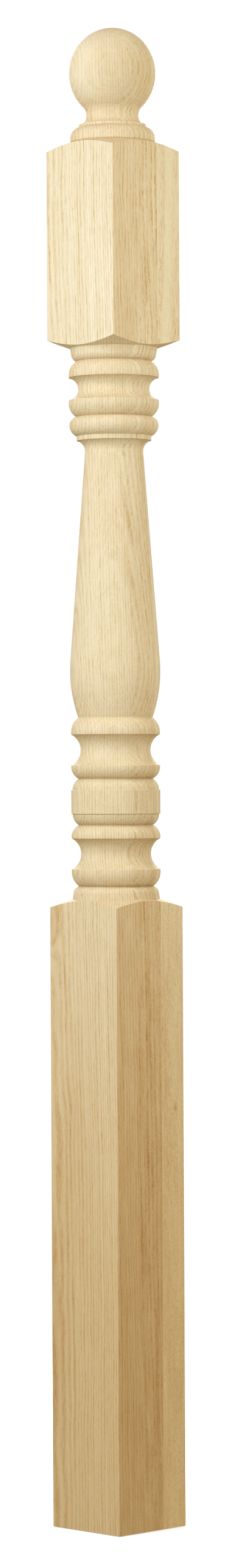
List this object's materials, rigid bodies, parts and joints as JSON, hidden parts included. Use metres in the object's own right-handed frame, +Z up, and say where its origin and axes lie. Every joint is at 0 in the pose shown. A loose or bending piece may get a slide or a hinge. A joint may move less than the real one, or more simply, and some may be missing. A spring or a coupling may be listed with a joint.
{
  "type": "newel post",
  "caption": "Square stair post turned from one oak blank, with a ball on top, a block for the handrail, a tapered vase between beads and coves, and a long plain foot.",
  "frame": {"origin": "centre of the square foot, on its underside", "axes": "+Z up the post to the ball, X and Y square to the four flat faces"},
  "size_m": [0.0762, 0.0762, 1.2192],
  "materials": {
    "oak": "unfinished oak, turned and sanded, glued up from three boards, open pores and a dull sheen"
  },
  "bodies": {
    "root": {"newel_post": "oak"}
  },
  "joints": []
}
